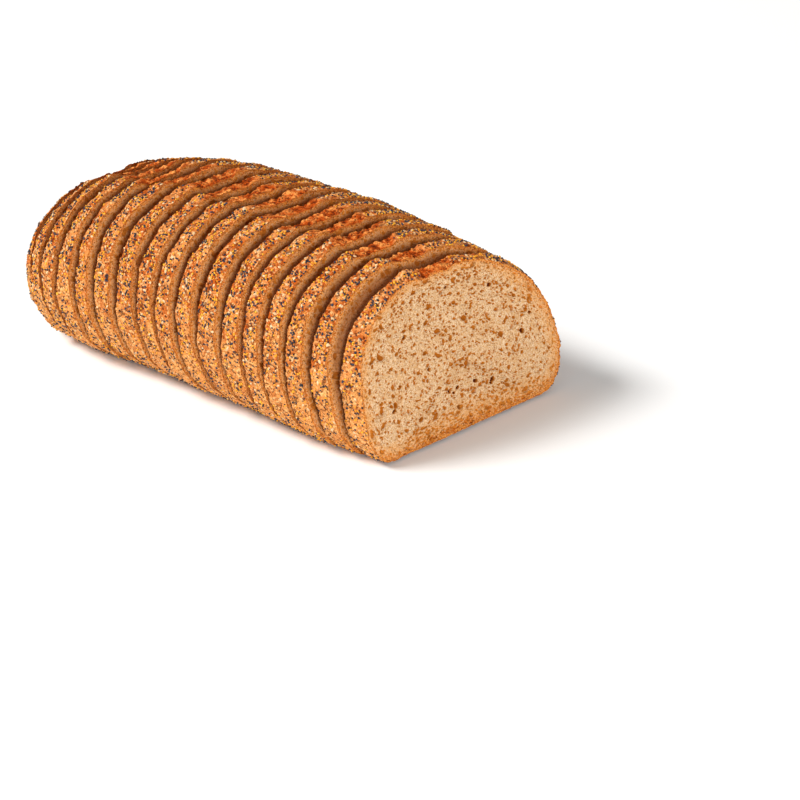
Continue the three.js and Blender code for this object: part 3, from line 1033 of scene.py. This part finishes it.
def strew(seed, kind, first=()):
    """Copies one seed over the crust where there is room for it, joined into one piece."""
    chance = np.random.default_rng(kind["draws"])
    places, normals, spins, sizes = [], [], [], []
    for piece, point, spin in first:
        _, spot, normal, _ = piece.closest_point_on_mesh(Vector(point))
        places.append(tuple(spot))
        normals.append(tuple(normal))
        spins.append(spin)
        sizes.append(SOLID_SEED_SIZE)
    for piece, _, room in pieces:
        mesh = piece.data
        count = len(mesh.polygons)
        centres = np.empty(count * 3)
        outward = np.empty(count * 3)
        area = np.empty(count)
        material = np.empty(count, np.int32)
        start = np.empty(count, np.int32)
        point_of = np.empty(len(mesh.loops), np.int32)
        mesh.polygons.foreach_get("center", centres)
        mesh.polygons.foreach_get("normal", outward)
        mesh.polygons.foreach_get("area", area)
        mesh.polygons.foreach_get("material_index", material)
        mesh.polygons.foreach_get("loop_start", start)
        mesh.loops.foreach_get("vertex_index", point_of)
        weight = np.where(material == 0, room[point_of[start]] * area / MM**2, 0)
        seeds = int(weight.sum() * kind["each_mm2"])
        chosen = chance.choice(count, size=seeds, replace=False, p=weight / weight.sum())
        places.extend(centres.reshape(-1, 3)[chosen])
        normals.extend(outward.reshape(-1, 3)[chosen])
        spins.extend(chance.random(seeds) * 2 * math.pi)
        size = 1 + SEED_SIZES["spread"] * chance.standard_normal(seeds)
        sizes.extend(size.clip(SEED_SIZES["least"], SEED_SIZES["most"]))
    places, normals, spins, sizes = (np.array(column) for column in (places, normals, spins, sizes))

    normals += SEED_TILT * chance.standard_normal(normals.shape)
    normals /= np.linalg.norm(normals, axis=1)[:, None]
    across = np.cross(normals, ACROSS)
    across /= np.linalg.norm(across, axis=1)[:, None]
    beside = np.cross(normals, across)
    long_way = across * np.cos(spins)[:, None] + beside * np.sin(spins)[:, None]
    short_way = np.cross(normals, long_way)
    one = read_points(seed.data) * MM
    scaled = one[None] * sizes[:, None, None]
    points = scaled[:, :, 0:1] * long_way[:, None] + scaled[:, :, 1:2] * short_way[:, None]
    points += scaled[:, :, 2:3] * normals[:, None]
    points += (places + normals * (kind["half"][2] * SEED_RAISED * MM))[:, None]
    points[:, :, 2] = points[:, :, 2].clip(0)

    # A new sphere's faces come in a different order each time, so they are sorted
    shape = sorted(tuple(face.vertices) for face in seed.data.polygons)
    faces = []
    for number in range(len(places)):
        passed = number * len(one)
        faces.extend([corner + passed for corner in face] for face in shape)
    mesh = bpy.data.meshes.new(seed.name)
    mesh.from_pydata(points.reshape(-1, 3).tolist(), [], faces)
    store(mesh, "shade", np.repeat(chance.random(len(places)), len(one)))
    old = seed.data
    seed.data = mesh
    bpy.data.meshes.remove(old)


def seed_material(name, colours, roughness):
    """A seed's dull skin, whose colour varies from one seed to the next."""
    material = new_material(name)
    tree = material.node_tree
    spot = scaled_to_mm(tree)
    shade = add_node(tree, "ShaderNodeAttribute", {}, attribute_name="shade").outputs["Fac"]
    tone = add_node(
        tree, "ShaderNodeMix", {0: shade, 6: colour(colours[0]), 7: colour(colours[1])}, data_type="RGBA"
    )
    pits = add_node(tree, "ShaderNodeTexNoise", {"Vector": spot, "Scale": SEED_PITS, "Detail": 2})
    bump = add_node(tree, "ShaderNodeBump", {"Height": pits.outputs[0]} | SEED_BUMP)
    shader = add_node(
        tree,
        "ShaderNodeBsdfPrincipled",
        {"Base Color": tone.outputs[2], "Roughness": roughness, "Specular IOR Level": 0.3}
        | {"Normal": bump.outputs[0]},
    )
    add_node(tree, "ShaderNodeOutputMaterial", {"Surface": shader.outputs[0]})
    return material


def dress_seeds(seed, material):
    """Gives the strewn seeds their material and their place in the part."""
    seed.data.materials.append(material)
    bpy.ops.object.select_all(action="DESELECT")
    seed.select_set(True)
    bpy.context.view_layer.objects.active = seed
    bpy.ops.object.shade_smooth_by_angle(angle=SEED_CREASE)
    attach(seed, "root")


sesame = seed_shape("sesame_seeds", SESAME["half"], blunt=False)
strew(sesame, SESAME, first=solid_seed_places())
dress_seeds(sesame, seed_material("hulled sesame", SESAME["colours"], 0.45))


# Poppy seeds. Round, blue-black and about 1.1 mm across, the commonest of the three kinds.

POPPY = {"half": (0.6, 0.56, 0.5), "each_mm2": 0.17, "draws": 11, "colours": ("#16151a", "#3b3d4e")}

poppy = seed_shape("poppy_seeds", POPPY["half"], blunt=True)
strew(poppy, POPPY)
dress_seeds(poppy, seed_material("blue poppy seed", POPPY["colours"], 0.5))


# Maize grits. Broken golden grains 1.2 to 1.5 mm across, a little larger than the poppy seeds.

GRITS = {"half": (0.74, 0.6, 0.46), "each_mm2": 0.11, "draws": 13, "colours": ("#f4b42c", "#df8c18")}

grits = seed_shape("maize_grits", GRITS["half"], blunt=True)
strew(grits, GRITS)
dress_seeds(grits, seed_material("broken maize", GRITS["colours"], 0.5))
